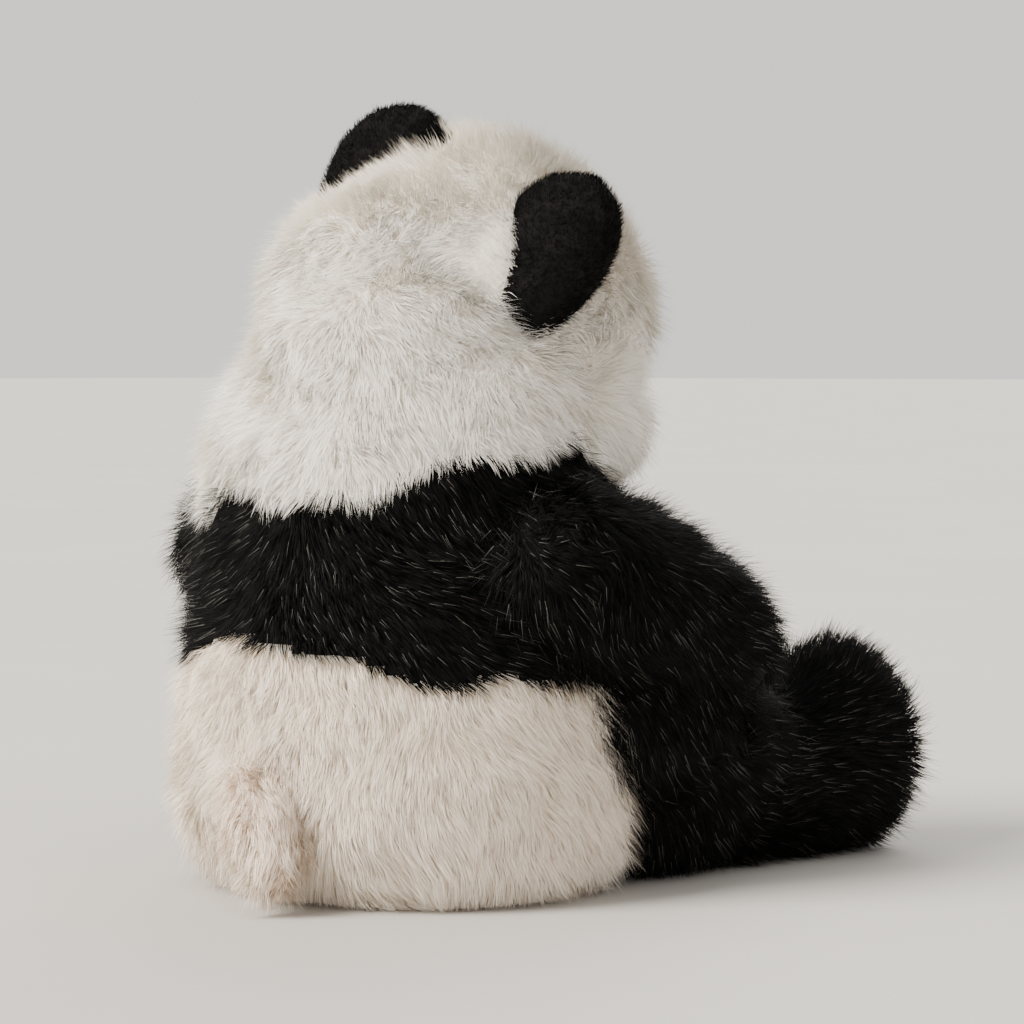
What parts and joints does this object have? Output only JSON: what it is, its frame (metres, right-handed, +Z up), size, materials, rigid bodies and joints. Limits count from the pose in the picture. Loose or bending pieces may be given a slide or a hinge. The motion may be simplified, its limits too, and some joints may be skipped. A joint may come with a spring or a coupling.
{
  "type": "plush panda",
  "caption": "Seated plush giant panda with black arms, legs, ears and shoulder band; the head turns and nods, the arms swing and the legs splay.",
  "frame": {"origin": "on the floor, under the centre of the seated toy's bounding box", "axes": "+Z up; the panda faces -Y, so its own left side is +X"},
  "size_m": [0.228, 0.3097, 0.3029],
  "materials": {
    "white_fur": "long cream pile",
    "black_fur": "long black pile",
    "ear_plush": "short dense black plush",
    "sole_suede": "brushed suede cloth",
    "stuffing": "polyester fibre fill",
    "pouch_cotton": "plain woven cotton, filled with pellets",
    "gloss_black": "polished",
    "washer_nylon": "as moulded",
    "stitch_thread": "thick embroidery thread"
  },
  "bodies": {
    "torso": {"seat_panel": "white_fur", "belly_panel": "white_fur", "chest_band": "black_fur", "lower_back_left": "white_fur", "lower_back_right": "white_fur", "shoulder_band_left": "black_fur", "shoulder_band_right": "black_fur", "cape_left": "white_fur", "cape_right": "white_fur", "torso_stuffing": "stuffing", "pellet_pouch": "pouch_cotton", "tail_upper_panel": "white_fur", "tail_under_panel": "white_fur", "tail_stuffing": "stuffing"},
    "neck": {"neck_stuffing": "stuffing"},
    "head": {"face_left": "white_fur", "face_right": "white_fur", "head_back_left": "white_fur", "head_back_right": "white_fur", "forehead_strip": "white_fur", "muzzle": "white_fur", "chin": "white_fur", "head_stuffing": "stuffing", "eye_patch_left": "ear_plush", "eye_patch_right": "ear_plush", "eye_left": "gloss_black", "eye_right": "gloss_black", "eye_washer_left": "washer_nylon", "eye_washer_right": "washer_nylon", "nose": "gloss_black", "nose_washer": "washer_nylon", "mouth_stitching": "stitch_thread", "ear_front_left": "ear_plush", "ear_back_left": "ear_plush", "ear_stuffing_left": "stuffing", "ear_front_right": "ear_plush", "ear_back_right": "ear_plush", "ear_stuffing_right": "stuffing"},
    "arm_left": {"arm_upper_left": "black_fur", "arm_under_left": "black_fur", "paw_pad_left": "sole_suede", "arm_stuffing_left": "stuffing"},
    "leg_left": {"leg_upper_left": "black_fur", "leg_under_left": "black_fur", "foot_sole_left": "sole_suede", "leg_stuffing_left": "stuffing"},
    "arm_right": {"arm_upper_right": "black_fur", "arm_under_right": "black_fur", "paw_pad_right": "sole_suede", "arm_stuffing_right": "stuffing"},
    "leg_right": {"leg_upper_right": "black_fur", "leg_under_right": "black_fur", "foot_sole_right": "sole_suede", "leg_stuffing_right": "stuffing"}
  },
  "joints": [
    {"name": "neck_turn", "type": "hinge", "parent": "torso", "child": "neck", "pos_m": [0, 0.0182, 0.195], "axis": [0, 0, 1], "range_deg": [-22, 22]},
    {"name": "neck_nod", "type": "hinge", "parent": "neck", "child": "head", "pos_m": [0, 0.0182, 0.195], "axis": [1, 0, 0], "range_deg": [-6, 8]},
    {"name": "arm_swing_left", "type": "hinge", "parent": "torso", "child": "arm_left", "pos_m": [0.083, 0.0592, 0.126], "axis": [-1, 0, 0], "range_deg": [0, 50]},
    {"name": "arm_swing_right", "type": "hinge", "parent": "torso", "child": "arm_right", "pos_m": [-0.083, 0.0592, 0.126], "axis": [-1, 0, 0], "range_deg": [0, 50]},
    {"name": "leg_splay_left", "type": "hinge", "parent": "torso", "child": "leg_left", "pos_m": [0.052, -0.0088, 0.035], "axis": [0, 0, 1], "range_deg": [-4, 30]},
    {"name": "leg_splay_right", "type": "hinge", "parent": "torso", "child": "leg_right", "pos_m": [-0.052, -0.0088, 0.035], "axis": [0, 0, -1], "range_deg": [-4, 30]}
  ]
}
